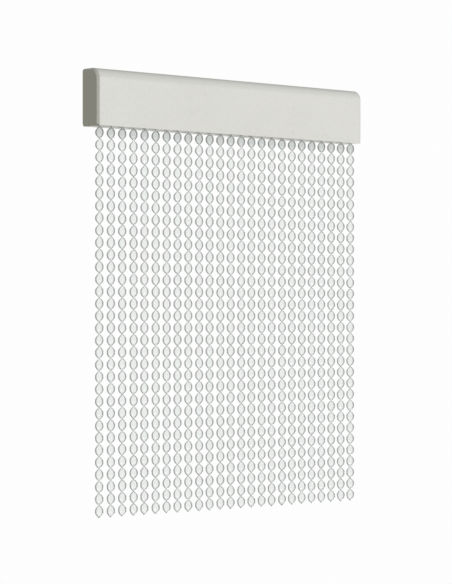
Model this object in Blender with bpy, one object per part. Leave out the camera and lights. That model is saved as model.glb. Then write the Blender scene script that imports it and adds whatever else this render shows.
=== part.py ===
"""Door curtain of twisted clear plastic bands, hung in a hollow header rail for the wall above a doorway.

Metres, +Z up. The origin is the middle of the header's flat back. +X is to the right of someone who
faces the curtain, and the front looks along -Y.
"""

import math

import bmesh
import bpy
from mathutils import Matrix

# Header, over all
HEADER_WIDTH = 0.900
HEADER_DEPTH = 0.064
HEADER_HEIGHT = 0.140
TOP_FRONT_RADIUS = 0.027
BACK_RADIUS = 0.0055
WALL = 0.0025

# Air between pieces that touch
GAP = 0.0003

# Straight steps along a quarter turn of the large and the small radii
LARGE_ARC_STEPS = 10
SMALL_ARC_STEPS = 4

# End caps
CAP_THICKNESS = 0.006
CAP_BEVEL = 0.005
TONGUE_LENGTH = 0.012
TONGUE_THICKNESS = 0.003
TONGUE_HEIGHT = 0.080

# Strands: how they are spread along the header, and the size of one lobe, which is half a turn
STRAND_COUNT = 25
STRANDS_PER_SET = 5
END_MARGIN = 0.022
STRAND_SETBACK = 0.0214
LOBE_COUNT = 32
LOBE_PITCH = 0.0296
BAND_HALF_WIDTH = 0.0105
BAND_HALF_THICKNESS = 0.00175

# Each strand is turned in steps, three to a lobe. The straight edges between them cut inside the
# helix that they follow, so the outer corners stand out by this factor.
STEPS_PER_LOBE = 3
CORNER_STRETCH = 1.06

# Direction in plan of the band's width at a node: there it is edge-on to someone 42 degrees to the left
NODE_DIRECTION = math.radians(48)

# Carrier strips, which are T-shaped in section, and the track that they lie in
CARRIER_HALF_DEPTH = 0.0186
CARRIER_THICKNESS = 0.006
SLOT_HALF_WIDTH = 0.0126
RIB_THICKNESS = 0.002
RIB_HEIGHT = 0.004

# Points nearer than this are one point, and faces nearer than this angle to flat are one face
MERGE_DISTANCE = 0.000001
FLAT_ANGLE = math.radians(0.01)

# Edges sharper than this stay crisp where a piece is shaded smooth
CRISP_ANGLE = math.radians(35)

# Worked out from the sizes above
HALF_HEIGHT = HEADER_HEIGHT / 2
STRAND_Y = STRAND_SETBACK - HEADER_DEPTH
STRAND_SPACING = (HEADER_WIDTH - 2 * END_MARGIN) / (STRAND_COUNT - 1)
PROFILE_HALF_LENGTH = HEADER_WIDTH / 2 - CAP_THICKNESS - GAP
CARRIER_BOTTOM = -HALF_HEIGHT + WALL + GAP


def clear_scene():
    for scene_object in list(bpy.data.objects):
        bpy.data.objects.remove(scene_object, do_unlink=True)


def new_collection(name):
    collection = bpy.data.collections.new(name)
    bpy.context.scene.collection.children.link(collection)
    return collection


def arc(centre, radius, start, end, steps):
    """Points in the depth and height plane along an arc, from start to end degrees, both included."""
    angles = [math.radians(start + (end - start) * step / steps) for step in range(steps + 1)]
    return [(centre[0] + radius * math.cos(a), centre[1] + radius * math.sin(a)) for a in angles]


def outer_outline():
    """The header's section, seen along X: a box with a large radius along its top front edge."""
    bottom_back = (-BACK_RADIUS, BACK_RADIUS - HALF_HEIGHT)
    top_back = (-BACK_RADIUS, HALF_HEIGHT - BACK_RADIUS)
    top_front = (TOP_FRONT_RADIUS - HEADER_DEPTH, HALF_HEIGHT - TOP_FRONT_RADIUS)
    return (
        arc(bottom_back, BACK_RADIUS, -90, 0, SMALL_ARC_STEPS)
        + arc(top_back, BACK_RADIUS, 0, 90, SMALL_ARC_STEPS)
        + arc(top_front, TOP_FRONT_RADIUS, 90, 180, LARGE_ARC_STEPS)
        + [(-HEADER_DEPTH, -HALF_HEIGHT)]
    )


def profile_outline():
    """The outer outline, cut open below and carried back along the inside of the wall."""
    floor = WALL - HALF_HEIGHT
    slot_front = STRAND_Y - SLOT_HALF_WIDTH
    slot_back = STRAND_Y + SLOT_HALF_WIDTH
    rib_front = STRAND_Y + CARRIER_HALF_DEPTH + GAP
    rib_back = rib_front + RIB_THICKNESS
    rib_top = floor + RIB_HEIGHT
    top_front = (TOP_FRONT_RADIUS - HEADER_DEPTH, HALF_HEIGHT - TOP_FRONT_RADIUS)
    front_lip = [(slot_front, -HALF_HEIGHT), (slot_front, floor), (WALL - HEADER_DEPTH, floor)]
    inside_round = arc(top_front, TOP_FRONT_RADIUS - WALL, 180, 90, LARGE_ARC_STEPS)
    inside_back = [(-WALL, HALF_HEIGHT - WALL), (-WALL, floor)]
    rib = [(rib_back, floor), (rib_back, rib_top), (rib_front, rib_top), (rib_front, floor)]
    back_lip = [(slot_back, floor), (slot_back, -HALF_HEIGHT)]
    return outer_outline() + front_lip + inside_round + inside_back + rib + back_lip


def extruded(name, outline, length):
    """A filled 2D curve of a section, extruded along X about the origin."""
    curve = bpy.data.curves.new(name, "CURVE")
    curve.dimensions = "2D"
    curve.fill_mode = "BOTH"
    curve.extrude = length / 2
    spline = curve.splines.new("POLY")
    spline.points.add(len(outline) - 1)
    for point, (depth, height) in zip(spline.points, outline):
        point.co = (depth, height, 0.0, 1.0)
    spline.use_cyclic_u = True
    piece = bpy.data.objects.new(name, curve)
    piece.rotation_euler = (math.radians(90), 0, math.radians(90))
    return piece


def box(bm, low, high):
    """A box between two corners, added to a bmesh."""
    size = [b - a for a, b in zip(low, high)]
    centre = [(a + b) / 2 for a, b in zip(low, high)]
    made = bmesh.ops.create_cube(bm, size=1.0)["verts"]
    bmesh.ops.scale(bm, vec=size, verts=made)
    bmesh.ops.translate(bm, vec=centre, verts=made)


def object_from(bm, name, collection):
    mesh = bpy.data.meshes.new(name)
    bm.to_mesh(mesh)
    bm.free()
    piece = bpy.data.objects.new(name, mesh)
    collection.objects.link(piece)
    return piece


def fuse(piece, added):
    """Join another closed body to a piece, and keep that body as a hidden guide."""
    added.hide_render = True
    added.display_type = "WIRE"
    union = piece.modifiers.new("fuse", "BOOLEAN")
    union.operation = "UNION"
    union.solver = "EXACT"
    union.object = added


def plain_material(name, colour, roughness, transmission=0.0):
    material = bpy.data.materials.new(name)
    material.use_nodes = True
    shader = material.node_tree.nodes["Principled BSDF"]
    shader.inputs["Base Color"].default_value = (*colour, 1.0)
    shader.inputs["Roughness"].default_value = roughness
    shader.inputs["Metallic"].default_value = 0.0
    shader.inputs["Transmission Weight"].default_value = transmission
    return material


def header_profile(parts, lacquer):
    """The extrusion that hides the carriers. A slot along its underside lets their stems through."""
    profile = extruded("header_profile", profile_outline(), 2 * PROFILE_HALF_LENGTH)
    profile.data.materials.append(lacquer)
    parts.objects.link(profile)
    return profile


def end_cap(name, side, parts, guides, lacquer):
    """A plate with the header's outline and a flat bevel along its rim, held by two tongues."""
    inner_x = side * (HEADER_WIDTH / 2 - CAP_THICKNESS)
    outer_x = side * HEADER_WIDTH / 2
    plate = extruded(name + "_plate", outer_outline(), CAP_THICKNESS)
    parts.objects.link(plate)
    bpy.context.view_layer.update()
    evaluated = plate.evaluated_get(bpy.context.evaluated_depsgraph_get())
    bm = bmesh.new()
    bm.from_mesh(bpy.data.meshes.new_from_object(evaluated))
    bmesh.ops.transform(bm, matrix=plate.matrix_world, verts=bm.verts)
    bmesh.ops.translate(bm, vec=((inner_x + outer_x) / 2, 0, 0), verts=bm.verts)
    bpy.data.objects.remove(plate)
    bmesh.ops.remove_doubles(bm, verts=bm.verts, dist=MERGE_DISTANCE)
    flat = [e for e in bm.edges if e.is_manifold and e.calc_face_angle() < FLAT_ANGLE]
    bmesh.ops.dissolve_edges(bm, edges=flat, use_verts=False)
    rim = [e for e in bm.edges if all(abs(v.co.x - outer_x) < MERGE_DISTANCE for v in e.verts)]
    bmesh.ops.bevel(
        bm,
        geom=rim,
        offset=CAP_BEVEL,
        segments=1,
        profile=0.5,
        affect="EDGES",
        clamp_overlap=True,
        material=-1,
    )
    bmesh.ops.recalc_face_normals(bm, faces=bm.faces)
    cap = object_from(bm, name, parts)
    cap.data.materials.append(lacquer)
    cap.data.shade_smooth()
    cap.data.set_sharp_from_angle(angle=CRISP_ANGLE)

    tongues = bmesh.new()
    root_x = (inner_x + outer_x) / 2
    tip_x = inner_x - side * TONGUE_LENGTH
    front = WALL + GAP - HEADER_DEPTH
    back = -WALL - GAP
    for low_y, high_y in ((front, front + TONGUE_THICKNESS), (back - TONGUE_THICKNESS, back)):
        low = (min(root_x, tip_x), low_y, -TONGUE_HEIGHT / 2)
        high = (max(root_x, tip_x), high_y, TONGUE_HEIGHT / 2)
        box(tongues, low, high)
    fuse(cap, object_from(tongues, name + "_tongues", guides))
    return cap


def free_middles(bm):
    """Merge the two inner corners in the middle of each lobe into those above.

    A lobe keeps its outline without them, and its faces run on as single long facets.
    """
    target = {}
    for vert in bm.verts:
        lobes_down = (-HALF_HEIGHT - vert.co.z) / LOBE_PITCH
        in_middle = round(2 * lobes_down, 3) % 2 == 1
        if in_middle and vert.co.xy.length < BAND_HALF_WIDTH / 2:
            neighbours = [edge.other_vert(vert) for edge in vert.link_edges]
            target[vert] = max(neighbours, key=lambda v: v.co.z)
    bmesh.ops.weld_verts(bm, targetmap=target)


def fold_along_band(bm):
    """Cut each twisted side face from its outer corner above to its inner corner below.

    Both faces of the band then fold along the same lines, and it stays thin between its edges.
    """
    for face in list(bm.faces):
        corners = sorted(face.verts, key=lambda v: v.co.z)
        level = corners[-1].co.z - corners[0].co.z < MERGE_DISTANCE
        if level or len(corners) == 3:
            continue
        below = min(corners[:2], key=lambda v: v.co.xy.length)
        above = max(corners[2:], key=lambda v: v.co.xy.length)
        bmesh.utils.face_split(face, below, above)


def twisted_band():
    """One strand about the Z axis: a rhombus carried down left-handed, a sixth of a turn at a time."""
    bm = bmesh.new()
    section = bmesh.ops.create_circle(bm, cap_ends=True, segments=4, radius=1.0)["verts"]
    corner = BAND_HALF_WIDTH * CORNER_STRETCH
    bmesh.ops.scale(bm, vec=(corner, BAND_HALF_THICKNESS, 1.0), verts=section)
    step_turn = math.pi / STEPS_PER_LOBE
    step_drop = LOBE_PITCH / STEPS_PER_LOBE
    steps = STEPS_PER_LOBE * LOBE_COUNT
    start = Matrix.Rotation(NODE_DIRECTION - step_turn / 2, 3, "Z")
    bmesh.ops.rotate(bm, verts=section, cent=(0, 0, 0), matrix=start)
    bmesh.ops.translate(bm, verts=section, vec=(0, 0, step_drop / 2 - HALF_HEIGHT))
    swept = bmesh.ops.spin(
        bm,
        geom=bm.verts[:] + bm.edges[:] + bm.faces[:],
        cent=(0, 0, 0),
        axis=(0, 0, 1),
        dvec=(0, 0, -step_drop),
        angle=step_turn * steps,
        steps=steps,
    )
    bmesh.ops.spin(
        bm,
        geom=swept["geom_last"],
        cent=(0, 0, 0),
        axis=(0, 0, 1),
        dvec=(0, 0, -step_drop / 2),
        angle=step_turn / 2,
        steps=1,
    )
    free_middles(bm)
    bmesh.ops.recalc_face_normals(bm, faces=bm.faces)
    fold_along_band(bm)
    return bm


def strand_x(index):
    return END_MARGIN - HEADER_WIDTH / 2 + index * STRAND_SPACING


def carrier_strip(low_x, high_x):
    """A plate that lies on the header's two lips, and a stem below it that fills the slot between them."""
    bm = bmesh.new()
    box(
        bm,
        (low_x, STRAND_Y - CARRIER_HALF_DEPTH, CARRIER_BOTTOM),
        (high_x, STRAND_Y + CARRIER_HALF_DEPTH, CARRIER_BOTTOM + CARRIER_THICKNESS),
    )
    half_stem = SLOT_HALF_WIDTH - GAP
    for depth in (STRAND_Y - half_stem, STRAND_Y + half_stem):
        bmesh.ops.bisect_plane(
            bm,
            geom=bm.verts[:] + bm.edges[:] + bm.faces[:],
            plane_co=(0, depth, 0),
            plane_no=(0, 1, 0),
            dist=MERGE_DISTANCE,
        )
    lowest = [face for face in bm.faces if face.calc_center_median().z < CARRIER_BOTTOM + MERGE_DISTANCE]
    above_slot = min(lowest, key=lambda face: abs(face.calc_center_median().y - STRAND_Y))
    drawn = bmesh.ops.extrude_face_region(bm, geom=[above_slot, *above_slot.edges])["geom"]
    points = [element for element in drawn if isinstance(element, bmesh.types.BMVert)]
    bmesh.ops.translate(bm, vec=(0, 0, -HALF_HEIGHT - CARRIER_BOTTOM), verts=points)
    return bm


def strand_set(number, band, parts, guides, clear_plastic):
    """A carrier strip that lies on the header's two lips, with five strands fused to it."""
    first = (number - 1) * STRANDS_PER_SET
    last = first + STRANDS_PER_SET - 1
    between = STRAND_SPACING / 2 - GAP / 2
    low_x = max(strand_x(first) - between, -PROFILE_HALF_LENGTH)
    high_x = min(strand_x(last) + between, PROFILE_HALF_LENGTH)
    carrier = object_from(carrier_strip(low_x, high_x), "strand_set_" + str(number), parts)
    carrier.data.materials.append(clear_plastic)

    strands = bmesh.new()
    for index in range(first, last + 1):
        before = len(strands.verts)
        strands.from_mesh(band)
        strands.verts.ensure_lookup_table()
        place = (strand_x(index), STRAND_Y, 0)
        bmesh.ops.translate(strands, vec=place, verts=strands.verts[before:])
    fuse(carrier, object_from(strands, "strands_of_set_" + str(number), guides))
    return carrier


def build():
    clear_scene()
    parts = new_collection("spiral_strand_door_curtain")
    guides = new_collection("joining_shapes")
    lacquer = plain_material("light_grey_lacquer", (0.70, 0.70, 0.67), 0.30)
    clear_plastic = plain_material("clear_plastic", (0.80, 0.83, 0.81), 0.15, transmission=0.8)

    band = bpy.data.meshes.new("twisted_band")
    bm = twisted_band()
    bm.to_mesh(band)
    bm.free()

    pieces = [
        header_profile(parts, lacquer),
        end_cap("end_cap_left", -1, parts, guides, lacquer),
        end_cap("end_cap_right", 1, parts, guides, lacquer),
    ]
    for number in range(1, STRAND_COUNT // STRANDS_PER_SET + 1):
        pieces.append(strand_set(number, band, parts, guides, clear_plastic))

    origin = bpy.data.objects.new("wall_face_centre", None)
    parts.objects.link(origin)
    for piece in pieces:
        piece.parent = origin


build()
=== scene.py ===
import math
import random

import bmesh
import bpy
from mathutils import Matrix, Vector


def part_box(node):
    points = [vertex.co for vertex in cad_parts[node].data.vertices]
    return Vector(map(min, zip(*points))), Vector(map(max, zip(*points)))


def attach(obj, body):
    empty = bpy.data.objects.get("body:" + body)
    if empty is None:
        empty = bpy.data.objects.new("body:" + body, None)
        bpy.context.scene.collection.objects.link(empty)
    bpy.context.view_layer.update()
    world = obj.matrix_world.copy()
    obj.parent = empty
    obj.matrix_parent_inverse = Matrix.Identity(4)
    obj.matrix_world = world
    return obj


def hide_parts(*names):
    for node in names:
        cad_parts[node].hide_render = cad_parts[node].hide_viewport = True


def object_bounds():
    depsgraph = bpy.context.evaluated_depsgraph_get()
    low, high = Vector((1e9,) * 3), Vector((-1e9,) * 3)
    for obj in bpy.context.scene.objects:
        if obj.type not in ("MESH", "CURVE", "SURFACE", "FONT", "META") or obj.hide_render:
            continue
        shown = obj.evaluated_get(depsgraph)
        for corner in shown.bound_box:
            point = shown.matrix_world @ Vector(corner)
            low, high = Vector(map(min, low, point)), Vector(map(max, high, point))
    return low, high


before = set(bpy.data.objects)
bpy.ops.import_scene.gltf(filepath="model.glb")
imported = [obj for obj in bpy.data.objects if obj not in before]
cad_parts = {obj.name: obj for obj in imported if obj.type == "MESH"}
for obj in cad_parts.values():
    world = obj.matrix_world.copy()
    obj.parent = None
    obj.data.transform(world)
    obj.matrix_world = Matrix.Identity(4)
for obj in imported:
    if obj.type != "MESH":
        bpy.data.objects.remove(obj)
cad_low, cad_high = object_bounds()

# Header rail: the hollow box that hides the strands' carriers. It is one extrusion of rigid light grey
# plastic, 2.5 mm thick, with a flat back for the wall, a large round along its top front edge and a slot
# below. The die leaves a satin skin with faint lengthwise lines, and the end caps close its sawn ends.
rail_low, rail_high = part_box("header_profile")
carrier_low, carrier_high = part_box("strand_set_3")
strand_line = (carrier_low.y + carrier_high.y) / 2

WALL = 0.0025
FRONT_ROUND = 0.027
BACK_ROUND = 0.0055
CRISP_ROUND = 0.0005
FRONT_STEPS = 20
BACK_STEPS = 6
CRISP_STEPS = 2
SLOT_HALF_WIDTH = 0.0126
RIB_THICKNESS = 0.002
RIB_HEIGHT = 0.004
RUNNING_GAP = 0.0003
END_ROUND = 0.0004
PLASTIC_COLOUR = (0.815, 0.812, 0.80)
DUST_COLOUR = (0.6, 0.58, 0.54)
PLASTIC_IOR = 1.49
MOTTLE_SHADE = 0.965
DUST_COVER = 0.35
DUST_ROUGHNESS = 0.3
RAIL_LINES_PER_METRE = 260.0


def rounded_face(bm, x, corners):
    """A face across the header at x. Each corner is a depth, a height, a radius and its number of steps."""
    points = [bm.verts.new((x, depth, height)) for depth, height, radius, steps in corners]
    bm.faces.new(points)
    for point, (depth, height, radius, steps) in zip(points, corners):
        if radius > 0:
            bmesh.ops.bevel(
                bm,
                geom=[point],
                offset=radius,
                segments=steps,
                profile=0.5,
                affect="VERTICES",
                clamp_overlap=False,
                material=-1,
            )
    return bm.faces[:]


def pushed(bm, faces, vector):
    """Extrudes faces by a vector, and returns the faces that moved. A lone face also stays behind."""
    shared = [edge for face in faces for edge in face.edges if len(edge.link_faces) > 1]
    extruded = bmesh.ops.extrude_face_region(bm, geom=faces + list(dict.fromkeys(shared)))["geom"]
    points = [element for element in extruded if isinstance(element, bmesh.types.BMVert)]
    bmesh.ops.translate(bm, verts=points, vec=vector)
    return [element for element in extruded if isinstance(element, bmesh.types.BMFace)]


def rounded_edges(bm, edges, radius, steps):
    """Bevels edges to a radius, without clamping. One step makes a flat bevel."""
    bmesh.ops.bevel(
        bm,
        geom=list(dict.fromkeys(edges)),
        offset=radius,
        segments=steps,
        profile=0.5,
        affect="EDGES",
        clamp_overlap=False,
        material=-1,
    )


def finished_piece(bm, name, material, crisp_degrees):
    """A shaded object at the origin from a finished bmesh, with its broad faces kept flat."""
    mesh = bpy.data.meshes.new(name)
    bm.to_mesh(mesh)
    bm.free()
    mesh.materials.append(material)
    mesh.shade_smooth()
    mesh.set_sharp_from_angle(angle=math.radians(crisp_degrees))
    piece = bpy.data.objects.new(name, mesh)
    bpy.context.scene.collection.objects.link(piece)
    weighted = piece.modifiers.new("flat faces stay flat", "WEIGHTED_NORMAL")
    weighted.mode = "FACE_AREA"
    weighted.keep_sharp = True
    return piece


def effect_group(name, inputs, outputs):
    """A shader node group with its own coordinates. Inputs are name, default and kind of socket."""
    group = bpy.data.node_groups.new(name, "ShaderNodeTree")
    for label, kind, value in inputs:
        socket = group.interface.new_socket(name=label, in_out="INPUT", socket_type=kind)
        socket.default_value = value
    for label, kind in outputs:
        group.interface.new_socket(name=label, in_out="OUTPUT", socket_type=kind)
    entry = group.nodes.new("NodeGroupInput")
    leave = group.nodes.new("NodeGroupOutput")
    return group, entry.outputs, leave.inputs


def math_node(tree, operation, first, second):
    """A Math node whose two values are sockets or plain numbers."""
    node = tree.nodes.new("ShaderNodeMath")
    node.operation = operation
    for socket, value in zip(node.inputs, (first, second)):
        if isinstance(value, bpy.types.NodeSocket):
            tree.links.new(value, socket)
        else:
            socket.default_value = value
    return node.outputs["Value"]


def ranged(tree, value, from_low, from_high, to_low, to_high):
    """A value carried smoothly from one range to another."""
    node = tree.nodes.new("ShaderNodeMapRange")
    node.interpolation_type = "SMOOTHSTEP"
    tree.links.new(value, node.inputs["Value"])
    node.inputs["From Min"].default_value = from_low
    node.inputs["From Max"].default_value = from_high
    node.inputs["To Min"].default_value = to_low
    node.inputs["To Max"].default_value = to_high
    return node.outputs["Result"]


def noise(tree, vector, scale, detail, stretch=(1.0, 1.0, 1.0)):
    """A noise pattern on a vector that is stretched before it is read."""
    mapping = tree.nodes.new("ShaderNodeMapping")
    mapping.inputs["Scale"].default_value = stretch
    tree.links.new(vector, mapping.inputs["Vector"])
    node = tree.nodes.new("ShaderNodeTexNoise")
    node.inputs["Scale"].default_value = scale
    node.inputs["Detail"].default_value = detail
    tree.links.new(mapping.outputs["Vector"], node.inputs["Vector"])
    return node.outputs["Fac"]


def mixed_colour(tree, factor, first, second):
    """A colour between two, each a socket or three numbers."""
    node = tree.nodes.new("ShaderNodeMix")
    node.data_type = "RGBA"
    tree.links.new(factor, node.inputs["Factor"])
    for socket, colour in ((node.inputs[6], first), (node.inputs[7], second)):
        if isinstance(colour, bpy.types.NodeSocket):
            tree.links.new(colour, socket)
        else:
            socket.default_value = (*colour, 1.0)
    return node.outputs[2]


def moulded_skin_group():
    """The fine unevenness of a moulded skin: a height in millimetres and a mask of duller patches."""
    group, entry, leave = effect_group(
        "moulded_skin",
        [("Vector", "NodeSocketVector", (0.0, 0.0, 0.0))],
        [("Height", "NodeSocketFloat"), ("Dull Patches", "NodeSocketFloat")],
    )
    ripple = noise(group, entry["Vector"], 160.0, 2.0)
    pores = noise(group, entry["Vector"], 1400.0, 1.0)
    both = math_node(group, "MULTIPLY_ADD", pores, 0.25)
    group.links.new(ripple, both.node.inputs[2])
    group.links.new(both, leave["Height"])
    patches = noise(group, entry["Vector"], 9.0, 2.0)
    group.links.new(ranged(group, patches, 0.30, 0.72, 0.0, 1.0), leave["Dull Patches"])
    return group


def drawn_lines_group():
    """The lines that a die draws along an extrusion. The vector's first axis runs along the lines."""
    group, entry, leave = effect_group(
        "drawn_lines",
        [("Vector", "NodeSocketVector", (0.0, 0.0, 0.0)), ("Lines per Metre", "NodeSocketFloat", 300.0)],
        [("Height", "NodeSocketFloat")],
    )
    fine = noise(group, entry["Vector"], 300.0, 3.0, stretch=(0.004, 1.0, 1.0))
    group.links.new(entry["Lines per Metre"], fine.node.inputs["Scale"])
    group.links.new(fine, leave["Height"])
    return group


def settled_dust_group():
    """Dust on faces that look up: a mask from the normal, broken up by noise."""
    group, entry, leave = effect_group(
        "settled_dust",
        [("Vector", "NodeSocketVector", (0.0, 0.0, 0.0))],
        [("Mask", "NodeSocketFloat")],
    )
    geometry = group.nodes.new("ShaderNodeNewGeometry")
    split = group.nodes.new("ShaderNodeSeparateXYZ")
    group.links.new(geometry.outputs["Normal"], split.inputs["Vector"])
    facing_up = ranged(group, split.outputs["Z"], 0.75, 1.0, 0.0, 1.0)
    specks = ranged(group, noise(group, entry["Vector"], 70.0, 6.0), 0.35, 0.75, 0.3, 1.0)
    group.links.new(math_node(group, "MULTIPLY", facing_up, specks), leave["Mask"])
    return group


moulded_skin = moulded_skin_group()
drawn_lines = drawn_lines_group()
settled_dust = settled_dust_group()


def placed_group(tree, group, vector):
    """A group's node in a material, fed with coordinates."""
    node = tree.nodes.new("ShaderNodeGroup")
    node.node_tree = group
    tree.links.new(vector, node.inputs["Vector"])
    return node


def bumped(tree, height, strength, distance, before=None):
    """A normal that is bumped by a height, on top of an earlier one."""
    node = tree.nodes.new("ShaderNodeBump")
    node.inputs["Strength"].default_value = strength
    node.inputs["Distance"].default_value = distance
    tree.links.new(height, node.inputs["Height"])
    if before is not None:
        tree.links.new(before, node.inputs["Normal"])
    return node.outputs["Normal"]


def rigid_plastic(name, with_lines):
    """The header's light grey plastic, finely mottled, with the die's lines where it is extruded."""
    material = bpy.data.materials.new(name)
    material.use_nodes = True
    tree = material.node_tree
    shader = tree.nodes["Principled BSDF"]
    place = tree.nodes.new("ShaderNodeTexCoord").outputs["Object"]
    skin = placed_group(tree, moulded_skin, place)
    dust = placed_group(tree, settled_dust, place)
    patches = skin.outputs["Dull Patches"]
    darker = tuple(MOTTLE_SHADE * channel for channel in PLASTIC_COLOUR)
    mottle = ranged(tree, skin.outputs["Height"], 0.45, 0.80, 0.0, 1.0)
    clean = mixed_colour(tree, mottle, PLASTIC_COLOUR, darker)
    dustiness = math_node(tree, "MULTIPLY", dust.outputs["Mask"], DUST_COVER)
    dusty = mixed_colour(tree, dustiness, clean, DUST_COLOUR)
    tree.links.new(dusty, shader.inputs["Base Color"])
    gloss = ranged(tree, patches, 0.0, 1.0, 0.27, 0.33)
    roughness = math_node(tree, "MULTIPLY_ADD", dust.outputs["Mask"], DUST_ROUGHNESS)
    tree.links.new(gloss, roughness.node.inputs[2])
    tree.links.new(roughness, shader.inputs["Roughness"])
    normal = bumped(tree, skin.outputs["Height"], 0.17, 0.0003)
    if with_lines:
        lines = placed_group(tree, drawn_lines, place)
        lines.inputs["Lines per Metre"].default_value = RAIL_LINES_PER_METRE
        normal = bumped(tree, lines.outputs["Height"], 0.10, 0.0003, normal)
    tree.links.new(normal, shader.inputs["Normal"])
    shader.inputs["IOR"].default_value = PLASTIC_IOR
    return material


front, back = rail_low.y, rail_high.y
bottom, top = rail_low.z, rail_high.z
floor = bottom + WALL
slot_front = strand_line - SLOT_HALF_WIDTH
slot_back = strand_line + SLOT_HALF_WIDTH
rib_front = carrier_high.y + RUNNING_GAP
rib_back = rib_front + RIB_THICKNESS
rib_top = floor + RIB_HEIGHT
rail_corners = [
    (back, bottom, BACK_ROUND, BACK_STEPS),
    (back, top, BACK_ROUND, BACK_STEPS),
    (front, top, FRONT_ROUND, FRONT_STEPS),
    (front, bottom, CRISP_ROUND, CRISP_STEPS),
    (slot_front, bottom, CRISP_ROUND, CRISP_STEPS),
    (slot_front, floor, CRISP_ROUND, CRISP_STEPS),
    (front + WALL, floor, CRISP_ROUND, CRISP_STEPS),
    (front + WALL, top - WALL, FRONT_ROUND - WALL, FRONT_STEPS),
    (back - WALL, top - WALL, BACK_ROUND - WALL, BACK_STEPS),
    (back - WALL, floor, BACK_ROUND - WALL, BACK_STEPS),
    (rib_back, floor, CRISP_ROUND, CRISP_STEPS),
    (rib_back, rib_top, CRISP_ROUND, CRISP_STEPS),
    (rib_front, rib_top, CRISP_ROUND, CRISP_STEPS),
    (rib_front, floor, CRISP_ROUND, CRISP_STEPS),
    (slot_back, floor, CRISP_ROUND, CRISP_STEPS),
    (slot_back, bottom, CRISP_ROUND, CRISP_STEPS),
]
bm = bmesh.new()
pushed(bm, rounded_face(bm, rail_low.x, rail_corners), (rail_high.x - rail_low.x, 0, 0))
sawn_ends = [face for face in bm.faces if len(face.verts) > 4]
rounded_edges(bm, [edge for face in sawn_ends for edge in face.edges], END_ROUND, 2)
bmesh.ops.recalc_face_normals(bm, faces=bm.faces)
rail = finished_piece(bm, "header_rail", rigid_plastic("extruded_plastic", with_lines=True), 30)
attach(rail, "root")
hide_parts("header_profile")

# End caps: two moulded plates of the same plastic as the rail and with its outline, each with a flat 5 mm
# bevel along its outer rim. Two tongues on the back of each push into the rail, behind its front and back
# walls.
CAP_BEVEL = 0.005
BEVEL_EDGE_ROUND = 0.0003
TONGUE_THICKNESS = 0.003
TONGUE_HEIGHT = 0.080

cap_plastic = rigid_plastic("moulded_plastic", with_lines=False)
cap_corners = rail_corners[:3] + [(front, bottom, 0.0, 0)]
front_tongue = front + WALL + RUNNING_GAP
back_tongue = back - WALL - RUNNING_GAP
tongues = [(front_tongue, front_tongue + TONGUE_THICKNESS), (back_tongue - TONGUE_THICKNESS, back_tongue)]

for side, name, node in ((-1, "left_cap", "end_cap_left"), (1, "right_cap", "end_cap_right")):
    cap_low, cap_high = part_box(node)
    outer = cap_high.x if side > 0 else cap_low.x
    tip = cap_low.x if side > 0 else cap_high.x
    seat = side * (abs(rail_high.x) + RUNNING_GAP)
    bm = bmesh.new()
    outer_face = pushed(bm, rounded_face(bm, seat, cap_corners), (outer - seat, 0, 0))
    rounded_edges(bm, [edge for face in outer_face for edge in face.edges], CAP_BEVEL, 1)
    for x, radius in (
        (seat, END_ROUND),
        (outer - side * CAP_BEVEL, BEVEL_EDGE_ROUND),
        (outer, BEVEL_EDGE_ROUND),
    ):
        ring = [edge for edge in bm.edges if all(abs(v.co.x - x) < 1e-6 for v in edge.verts)]
        rounded_edges(bm, ring, radius, 2)
    cuts = [((0, depth, 0), (0, 1, 0)) for tongue in tongues for depth in tongue]
    cuts += [((0, 0, height), (0, 0, 1)) for height in (-TONGUE_HEIGHT / 2, TONGUE_HEIGHT / 2)]
    for point, normal in cuts:
        seat_faces = [face for face in bm.faces if all(abs(v.co.x - seat) < 1e-6 for v in face.verts)]
        seat_parts = [element for face in seat_faces for element in (face, *face.edges, *face.verts)]
        seat_parts = list(dict.fromkeys(seat_parts))
        bmesh.ops.bisect_plane(bm, geom=seat_parts, plane_co=point, plane_no=normal, dist=1e-6)
    for low_depth, high_depth in tongues:
        roots = []
        for face in bm.faces:
            centre = face.calc_center_median()
            on_seat = abs(centre.x - seat) < 1e-6
            if on_seat and low_depth < centre.y < high_depth and abs(centre.z) < TONGUE_HEIGHT / 2:
                roots.append(face)
        pushed(bm, roots, (tip - seat, 0, 0))
    bmesh.ops.recalc_face_normals(bm, faces=bm.faces)
    cap = finished_piece(bm, name, cap_plastic, 30)
    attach(cap, "root")
    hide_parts(node)

# Strands: 25 bands of clear soft plastic, each drawn with a round bead along both edges and twisted
# left-handed while warm, so that it hangs as a chain of 32 oval lobes. Five at a time they are welded to a
# carrier strip of milky plastic, which lies on the rail's two lips and fills its slot with a stem.
SET_COUNT = 5
STRANDS_PER_SET = 5
LOBE_COUNT = 32
LOBE_PITCH = 0.0296
MIDDLE_STRAND = 12
STRAND_SPACING = 0.856 / 24
BEAD_CENTRE = 0.0087
BEAD_RADIUS = 0.0018
BEAD_POINTS = 8
WEB_HALF = 0.0007
STEPS_PER_LOBE = 12
STEPS_IN_CARRIER = 2
NODE_DIRECTION = math.radians(48)
CARRIER_THICKNESS = 0.006
CARRIER_ROUND = 0.0003
QUICKER_AT_CROSSINGS = math.radians(6)
SWAY = 0.0006
SWAY_BEND_X = 2.2
SWAY_BEND_Y = 1.7
DRIFT = math.radians(2.5)
DRIFT_STARTS_WITHIN = 1 / 4
SOFT_PLASTIC_IOR = 1.3
WEB_COLOUR = (0.87, 0.885, 0.875)
# Painted shade: the beads' colour is darker than the web, standing for the dark edges that refraction gives
# a clear bead.
PAINTED_BEAD_SHADE = (0.34, 0.355, 0.345)
# Painted highlight: the beads' paler colour at each crossing.
CROSSING_HIGHLIGHT_COLOUR = (0.80, 0.815, 0.805)
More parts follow.
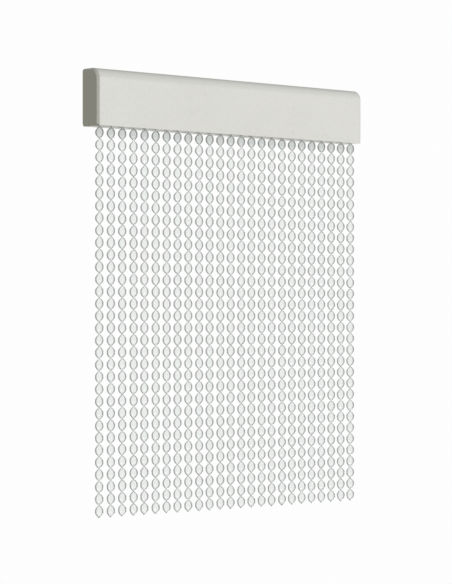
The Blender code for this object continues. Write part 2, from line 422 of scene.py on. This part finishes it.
# How far below each crossing, in lobes, the painted highlight is palest.
HIGHLIGHT_BELOW_CROSSING = 0.06
# Painted highlight: the lighter colour at the beads' outer edges.
EDGE_HIGHLIGHT_COLOUR = (0.93, 0.95, 0.935)
STREAK_SHADE = 0.97
BAND_LINES_PER_METRE = 900.0
CARRIER_LINES_PER_METRE = 400.0
# Painted shadow: the grey that darkens the strands' top lobe under the rail.
RAIL_SHADOW_COLOUR = (0.74, 0.75, 0.745)
CARRIER_COLOUR = (0.88, 0.88, 0.86)


def band_section(bm):
    """The band's section in plan: a thin web with a round bead at either end, as one face."""
    meeting = math.pi - math.asin(WEB_HALF / BEAD_RADIUS)
    angles = [meeting * (2 * step / (BEAD_POINTS - 1) - 1) for step in range(BEAD_POINTS)]
    bead = [(BEAD_CENTRE + BEAD_RADIUS * math.cos(a), BEAD_RADIUS * math.sin(a), 0) for a in angles]
    half = bead + [(0, WEB_HALF, 0)]
    outline = [Matrix.Rotation(turn, 3, "Z") @ Vector(point) for turn in (0, math.pi) for point in half]
    across = bm.verts.layers.float.new("across")
    points = [bm.verts.new(point) for point in outline]
    for point in points:
        point[across] = point.co.x
    bm.faces.new(points)


def twisted_band():
    """One strand about the Z axis, from inside its carrier down to its cut tip."""
    bm = bmesh.new()
    band_section(bm)
    step_turn = math.pi / STEPS_PER_LOBE
    step_drop = LOBE_PITCH / STEPS_PER_LOBE
    steps = LOBE_COUNT * STEPS_PER_LOBE + STEPS_IN_CARRIER
    start = Matrix.Rotation(NODE_DIRECTION - STEPS_IN_CARRIER * step_turn, 3, "Z")
    bmesh.ops.rotate(bm, verts=bm.verts, cent=(0, 0, 0), matrix=start)
    bmesh.ops.translate(bm, verts=bm.verts, vec=(0, 0, rail_low.z + STEPS_IN_CARRIER * step_drop))
    bmesh.ops.spin(
        bm,
        geom=bm.verts[:] + bm.edges[:] + bm.faces[:],
        cent=(0, 0, 0),
        axis=(0, 0, 1),
        dvec=(0, 0, -step_drop),
        angle=step_turn * steps,
        steps=steps,
    )
    bmesh.ops.recalc_face_normals(bm, faces=bm.faces)
    mesh = bpy.data.meshes.new("twisted_band")
    bm.to_mesh(mesh)
    bm.free()
    return mesh


def carrier_strip(low, high):
    """A strip's mesh between two corners: a plate, with a stem drawn down from its underside."""
    bm = bmesh.new()
    bmesh.ops.create_cube(bm, size=1.0)
    bmesh.ops.scale(bm, vec=(high.x - low.x, high.y - low.y, CARRIER_THICKNESS), verts=bm.verts)
    middle = (low + high) / 2
    middle.z = high.z - CARRIER_THICKNESS / 2
    bmesh.ops.translate(bm, vec=middle, verts=bm.verts)
    half_stem = SLOT_HALF_WIDTH - RUNNING_GAP
    for depth in (strand_line - half_stem, strand_line + half_stem):
        whole = bm.verts[:] + bm.edges[:] + bm.faces[:]
        bmesh.ops.bisect_plane(bm, geom=whole, plane_co=(0, depth, 0), plane_no=(0, 1, 0), dist=1e-6)
    plate_bottom = high.z - CARRIER_THICKNESS
    below = [face for face in bm.faces if face.calc_center_median().z < plate_bottom + 1e-6]
    stem = min(below, key=lambda face: abs(face.calc_center_median().y - strand_line))
    pushed(bm, [stem], (0, 0, rail_low.z - plate_bottom))
    corners = [edge for edge in bm.edges if edge.calc_face_angle() > math.radians(45)]
    rounded_edges(bm, corners, CARRIER_ROUND, 2)
    for face in bm.faces:
        face.material_index = 1
    mesh = bpy.data.meshes.new("carrier_strip")
    bm.to_mesh(mesh)
    bm.free()
    return mesh


def hang(points, x, luck):
    """Moves a strand's points to its place, with the slight sway and uneven twist of soft plastic.

    The twist is also a little quicker at the crossings than across the lobes, which rounds the lobes.
    """
    sway_x = luck.uniform(-SWAY, SWAY)
    sway_y = luck.uniform(-SWAY, SWAY)
    drift = luck.uniform(-DRIFT, DRIFT)
    wave = luck.uniform(0, 2 * math.pi)
    length = rail_low.z - cad_low.z
    for point in points:
        drop = max(0.0, rail_low.z - point.co.z)
        down = drop / length
        turn = drift * math.sin(2 * math.pi * down + wave) * min(1.0, down / DRIFT_STARTS_WITHIN)
        turn += QUICKER_AT_CROSSINGS * math.sin(2 * math.pi * drop / LOBE_PITCH)
        point.co.xy = Matrix.Rotation(turn, 2) @ point.co.xy
        point.co.x += x + sway_x * math.sin(SWAY_BEND_X * down)
        point.co.y += strand_line + sway_y * math.sin(SWAY_BEND_Y * down)


def clear_plastic():
    """Clear soft plastic: clean in the web, painted shade in the beads' flanks, a painted highlight at
    their edges.

    The beads have a painted highlight just below each crossing, and painted shadow greys the top lobe under
    the rail.
    """
    material = bpy.data.materials.new("clear_plastic")
    material.use_nodes = True
    tree = material.node_tree
    shader = tree.nodes["Principled BSDF"]
    place = tree.nodes.new("ShaderNodeTexCoord").outputs["Object"]
    across = tree.nodes.new("ShaderNodeAttribute")
    across.attribute_name = "across"
    height = tree.nodes.new("ShaderNodeSeparateXYZ")
    tree.links.new(place, height.inputs["Vector"])
    along_band = tree.nodes.new("ShaderNodeCombineXYZ")
    tree.links.new(height.outputs["Z"], along_band.inputs["X"])
    tree.links.new(across.outputs["Fac"], along_band.inputs["Y"])
    tree.links.new(height.outputs["X"], along_band.inputs["Z"])

    skin = placed_group(tree, moulded_skin, place)
    lines = placed_group(tree, drawn_lines, along_band.outputs["Vector"])
    lines.inputs["Lines per Metre"].default_value = BAND_LINES_PER_METRE
    from_middle = math_node(tree, "ABSOLUTE", across.outputs["Fac"], 0.0)
    in_bead = ranged(tree, from_middle, 0.0062, 0.0078, 0.0, 1.0)
    streaks = ranged(tree, lines.outputs["Height"], 0.35, 0.65, 0.0, 1.0)
    web = mixed_colour(tree, streaks, WEB_COLOUR, tuple(STREAK_SHADE * channel for channel in WEB_COLOUR))
    at_edge = ranged(tree, from_middle, 0.0094, 0.0102, 0.0, 1.0)
    # Painted highlight on the beads: palest just below each crossing, once a lobe.
    in_lobes = math_node(tree, "SUBTRACT", rail_low.z, height.outputs["Z"])
    in_lobes = math_node(tree, "MULTIPLY_ADD", in_lobes, 1 / LOBE_PITCH)
    in_lobes.node.inputs[2].default_value = -HIGHLIGHT_BELOW_CROSSING
    turned = math_node(tree, "MULTIPLY", in_lobes, 2 * math.pi)
    crossing_highlight = ranged(tree, math_node(tree, "COSINE", turned, 0.0), 0.3, 1.0, 0.0, 1.0)
    bead = mixed_colour(tree, crossing_highlight, PAINTED_BEAD_SHADE, CROSSING_HIGHLIGHT_COLOUR)
    # Painted shade: the beads' flanks take the darker bead colour.
    bead_flanks_shaded = mixed_colour(tree, in_bead, web, bead)
    # Painted highlight: the beads' outer edges take the lighter edge colour.
    edge_highlighted = mixed_colour(tree, at_edge, bead_flanks_shaded, EDGE_HIGHLIGHT_COLOUR)
    # Painted shadow of the rail: the strands turn greyer over their top lobe and up into the rail.
    shadow_low = rail_low.z - 1.1 * LOBE_PITCH
    shadow_high = rail_low.z - 0.6 * LOBE_PITCH
    in_rail_shadow = ranged(tree, height.outputs["Z"], shadow_low, shadow_high, 0.0, 1.0)
    rail_shadowed = tree.nodes.new("ShaderNodeMix")
    rail_shadowed.data_type = "RGBA"
    rail_shadowed.blend_type = "MULTIPLY"
    rail_shadowed.inputs[7].default_value = (*RAIL_SHADOW_COLOUR, 1.0)
    tree.links.new(in_rail_shadow, rail_shadowed.inputs["Factor"])
    tree.links.new(edge_highlighted, rail_shadowed.inputs[6])
    tree.links.new(rail_shadowed.outputs[2], shader.inputs["Base Color"])
    roughness = ranged(tree, skin.outputs["Dull Patches"], 0.0, 1.0, 0.10, 0.22)
    tree.links.new(roughness, shader.inputs["Roughness"])
    normal = bumped(tree, lines.outputs["Height"], 0.15, 0.0002)
    tree.links.new(normal, shader.inputs["Normal"])
    shader.inputs["IOR"].default_value = SOFT_PLASTIC_IOR
    shader.inputs["Transmission Weight"].default_value = 1.0
    return material


def milky_plastic():
    """The carrier strips' milky plastic, with the lines of its die."""
    material = bpy.data.materials.new("milky_plastic")
    material.use_nodes = True
    tree = material.node_tree
    shader = tree.nodes["Principled BSDF"]
    place = tree.nodes.new("ShaderNodeTexCoord").outputs["Object"]
    lines = placed_group(tree, drawn_lines, place)
    lines.inputs["Lines per Metre"].default_value = CARRIER_LINES_PER_METRE
    streaks = ranged(tree, lines.outputs["Height"], 0.35, 0.65, 0.0, 1.0)
    darker = tuple(STREAK_SHADE * channel for channel in CARRIER_COLOUR)
    tree.links.new(mixed_colour(tree, streaks, CARRIER_COLOUR, darker), shader.inputs["Base Color"])
    tree.links.new(ranged(tree, streaks, 0.0, 1.0, 0.34, 0.42), shader.inputs["Roughness"])
    tree.links.new(bumped(tree, lines.outputs["Height"], 0.15, 0.0003), shader.inputs["Normal"])
    shader.inputs["IOR"].default_value = PLASTIC_IOR
    return material


band = twisted_band()
soft_plastic = clear_plastic()
strip_plastic = milky_plastic()
for number in range(1, SET_COUNT + 1):
    node = "strand_set_" + str(number)
    set_low, set_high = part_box(node)
    luck = random.Random(number)
    bm = bmesh.new()
    for rank in range(STRANDS_PER_SET):
        index = (number - 1) * STRANDS_PER_SET + rank
        before = len(bm.verts)
        bm.from_mesh(band)
        bm.verts.ensure_lookup_table()
        hang(bm.verts[before:], (index - MIDDLE_STRAND) * STRAND_SPACING, luck)
    strip = carrier_strip(set_low, set_high)
    bm.from_mesh(strip)
    bpy.data.meshes.remove(strip)
    strands = finished_piece(bm, "strands_" + str(number), soft_plastic, 60)
    strands.data.materials.append(strip_plastic)
    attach(strands, "root")
    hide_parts(node)

# Floor: a plain pale disc below the doorway's height, which fades out towards its rim. It takes the soft
# shadow and throws no light back at the curtain.
FLOOR_HEIGHT = -2.1
FLOOR_RADIUS = 4.0
FLOOR_SIDES = 96
FLOOR_COLOUR = (0.9, 0.9, 0.89, 1.0)
FLOOR_ROUGHNESS = 0.6
FLOOR_GLOW = 0.3

bm = bmesh.new()
bmesh.ops.create_circle(bm, cap_ends=True, segments=FLOOR_SIDES, radius=FLOOR_RADIUS)
bmesh.ops.translate(bm, vec=(0, 0, FLOOR_HEIGHT), verts=bm.verts)
paint = bpy.data.materials.new("floor_paint")
paint.use_nodes = True
tree = paint.node_tree
shader = tree.nodes["Principled BSDF"]
shader.inputs["Base Color"].default_value = FLOOR_COLOUR
shader.inputs["Roughness"].default_value = FLOOR_ROUGHNESS
shader.inputs["Emission Color"].default_value = (1.0, 1.0, 1.0, 1.0)
shader.inputs["Emission Strength"].default_value = FLOOR_GLOW
flat_place = tree.nodes.new("ShaderNodeMapping")
flat_place.inputs["Scale"].default_value = (1.0, 1.0, 0.0)
tree.links.new(tree.nodes.new("ShaderNodeTexCoord").outputs["Object"], flat_place.inputs["Vector"])
reach = tree.nodes.new("ShaderNodeVectorMath")
reach.operation = "LENGTH"
tree.links.new(flat_place.outputs["Vector"], reach.inputs[0])
fade = ranged(tree, reach.outputs["Value"], 0.25 * FLOOR_RADIUS, 0.95 * FLOOR_RADIUS, 1.0, 0.0)
tree.links.new(fade, shader.inputs["Alpha"])
ground = finished_piece(bm, "floor", paint, 30)
ground.visible_diffuse = False
ground.visible_glossy = False

# Light: a large soft lamp to the front right and just above the rail's height, and a small bright card to
# the lower right, in a dim studio. The camera sees plain white. What shines through the strands is a white
# backdrop with a brighter card to its left and another to its right, and the dark above and below.
KEY_DISTANCE = 8.0
KEY_SIZE = 5.0
KEY_POWER = 420.0
KEY_TURN = math.radians(15)
KEY_RISE = math.radians(5)
BACKDROP_TURN = math.radians(42)
CARD_TILT = math.radians(40)
STUDIO_BELOW = (0.158, 0.158, 0.12, 1.0)
STUDIO_LEVEL = (0.262, 0.262, 0.20, 1.0)
STUDIO_ABOVE = (0.32, 0.32, 0.31, 1.0)
CARD_LIGHT = (5.8, 5.8, 5.65)
BACKDROP_LIGHT = (0.98, 0.985, 0.98)
SIDE_CARD_LIGHT = (2.0, 2.01, 2.0)
DARK_ABOVE_AND_BELOW = (0.05, 0.05, 0.05)
WALL_SIDE_LIGHT = (0.95, 0.95, 0.94)
SEEN_WHITE = (0.985, 0.985, 0.985)
aim = Vector((0, rail_low.y, -0.15))
key_offset = Vector((
    math.sin(KEY_TURN) * math.cos(KEY_RISE),
    -math.cos(KEY_TURN) * math.cos(KEY_RISE),
    math.sin(KEY_RISE),
))
lamp = bpy.data.lights.new("key", "AREA")
lamp.shape = "SQUARE"
lamp.size = KEY_SIZE
lamp.energy = KEY_POWER
key = bpy.data.objects.new("key", lamp)
key.location = aim + KEY_DISTANCE * key_offset
key.rotation_euler = key_offset.to_track_quat("Z", "Y").to_euler()
key.visible_transmission = False
bpy.context.scene.collection.objects.link(key)

world = bpy.data.worlds.new("studio")
bpy.context.scene.world = world
world.use_nodes = True
tree = world.node_tree
background = tree.nodes["Background"]
direction = tree.nodes.new("ShaderNodeTexCoord").outputs["Generated"]
heading = tree.nodes.new("ShaderNodeSeparateXYZ")
tree.links.new(direction, heading.inputs["Vector"])
rays = tree.nodes.new("ShaderNodeLightPath")
upward = tree.nodes.new("ShaderNodeValToRGB")
upward.color_ramp.elements[0].color = STUDIO_BELOW
upward.color_ramp.elements[1].color = STUDIO_ABOVE
level = upward.color_ramp.elements.new(0.5)
level.color = STUDIO_LEVEL
tree.links.new(ranged(tree, heading.outputs["Z"], -1.0, 1.0, 0.0, 1.0), upward.inputs["Fac"])
towards_card = tree.nodes.new("ShaderNodeVectorMath")
towards_card.operation = "DOT_PRODUCT"
towards_card.inputs[1].default_value = (math.sin(CARD_TILT), 0.0, -math.cos(CARD_TILT))
tree.links.new(direction, towards_card.inputs[0])
in_card = ranged(tree, towards_card.outputs["Value"], 0.86, 0.94, 0.0, 1.0)
studio = mixed_colour(tree, in_card, upward.outputs["Color"], CARD_LIGHT)
steepness = math_node(tree, "ABSOLUTE", heading.outputs["Z"], 0.0)
along_backdrop = tree.nodes.new("ShaderNodeVectorMath")
along_backdrop.operation = "DOT_PRODUCT"
along_backdrop.inputs[1].default_value = (math.cos(BACKDROP_TURN), -math.sin(BACKDROP_TURN), 0.0)
tree.links.new(direction, along_backdrop.inputs[0])
sideways = math_node(tree, "ABSOLUTE", along_backdrop.outputs["Value"], 0.0)
inner_edge = ranged(tree, sideways, 0.32, 0.50, 0.0, 1.0)
outer_edge = ranged(tree, sideways, 0.54, 0.64, 1.0, 0.0)
cards = math_node(tree, "MULTIPLY", inner_edge, outer_edge)
level_light = mixed_colour(tree, cards, BACKDROP_LIGHT, SIDE_CARD_LIGHT)
far_up_or_down = ranged(tree, steepness, 0.2, 0.6, 0.0, 1.0)
through = mixed_colour(tree, far_up_or_down, level_light, DARK_ABOVE_AND_BELOW)
behind = ranged(tree, heading.outputs["Y"], 0.2, 0.7, 0.0, 1.0)
below_rail = ranged(tree, heading.outputs["Z"], 0.0, 0.25, 1.0, 0.0)
wall_side = math_node(tree, "MULTIPLY", behind, below_rail)
mirrored = mixed_colour(tree, wall_side, studio, WALL_SIDE_LIGHT)
soft = mixed_colour(tree, rays.outputs["Is Glossy Ray"], studio, mirrored)
lit = mixed_colour(tree, rays.outputs["Is Transmission Ray"], soft, through)
seen = mixed_colour(tree, rays.outputs["Is Camera Ray"], lit, SEEN_WHITE)
tree.links.new(seen, background.inputs["Color"])

# Camera: level, about six metres away and 42 degrees to the left of the curtain's front. Its long lens is
# shifted up a little, so that the picture is framed without tilting the camera.
CAMERA_TURN = math.radians(42)
CAMERA_PLACE = (-4.115, -4.595, -0.547)
SENSOR_WIDTH_MM = 36.0
LENS_MM = 149.06
LENS_SHIFT = 0.0534
FARTHEST_SEEN = 50.0
camera_data = bpy.data.cameras.new("camera")
camera_data.sensor_width = SENSOR_WIDTH_MM
camera_data.lens = LENS_MM
camera_data.shift_y = LENS_SHIFT
camera_data.clip_end = FARTHEST_SEEN
camera = bpy.data.objects.new("camera", camera_data)
camera.location = CAMERA_PLACE
camera.rotation_euler = (math.radians(90), 0, -CAMERA_TURN)
bpy.context.scene.collection.objects.link(camera)
bpy.context.scene.camera = camera
bpy.context.scene.view_settings.view_transform = "Standard"
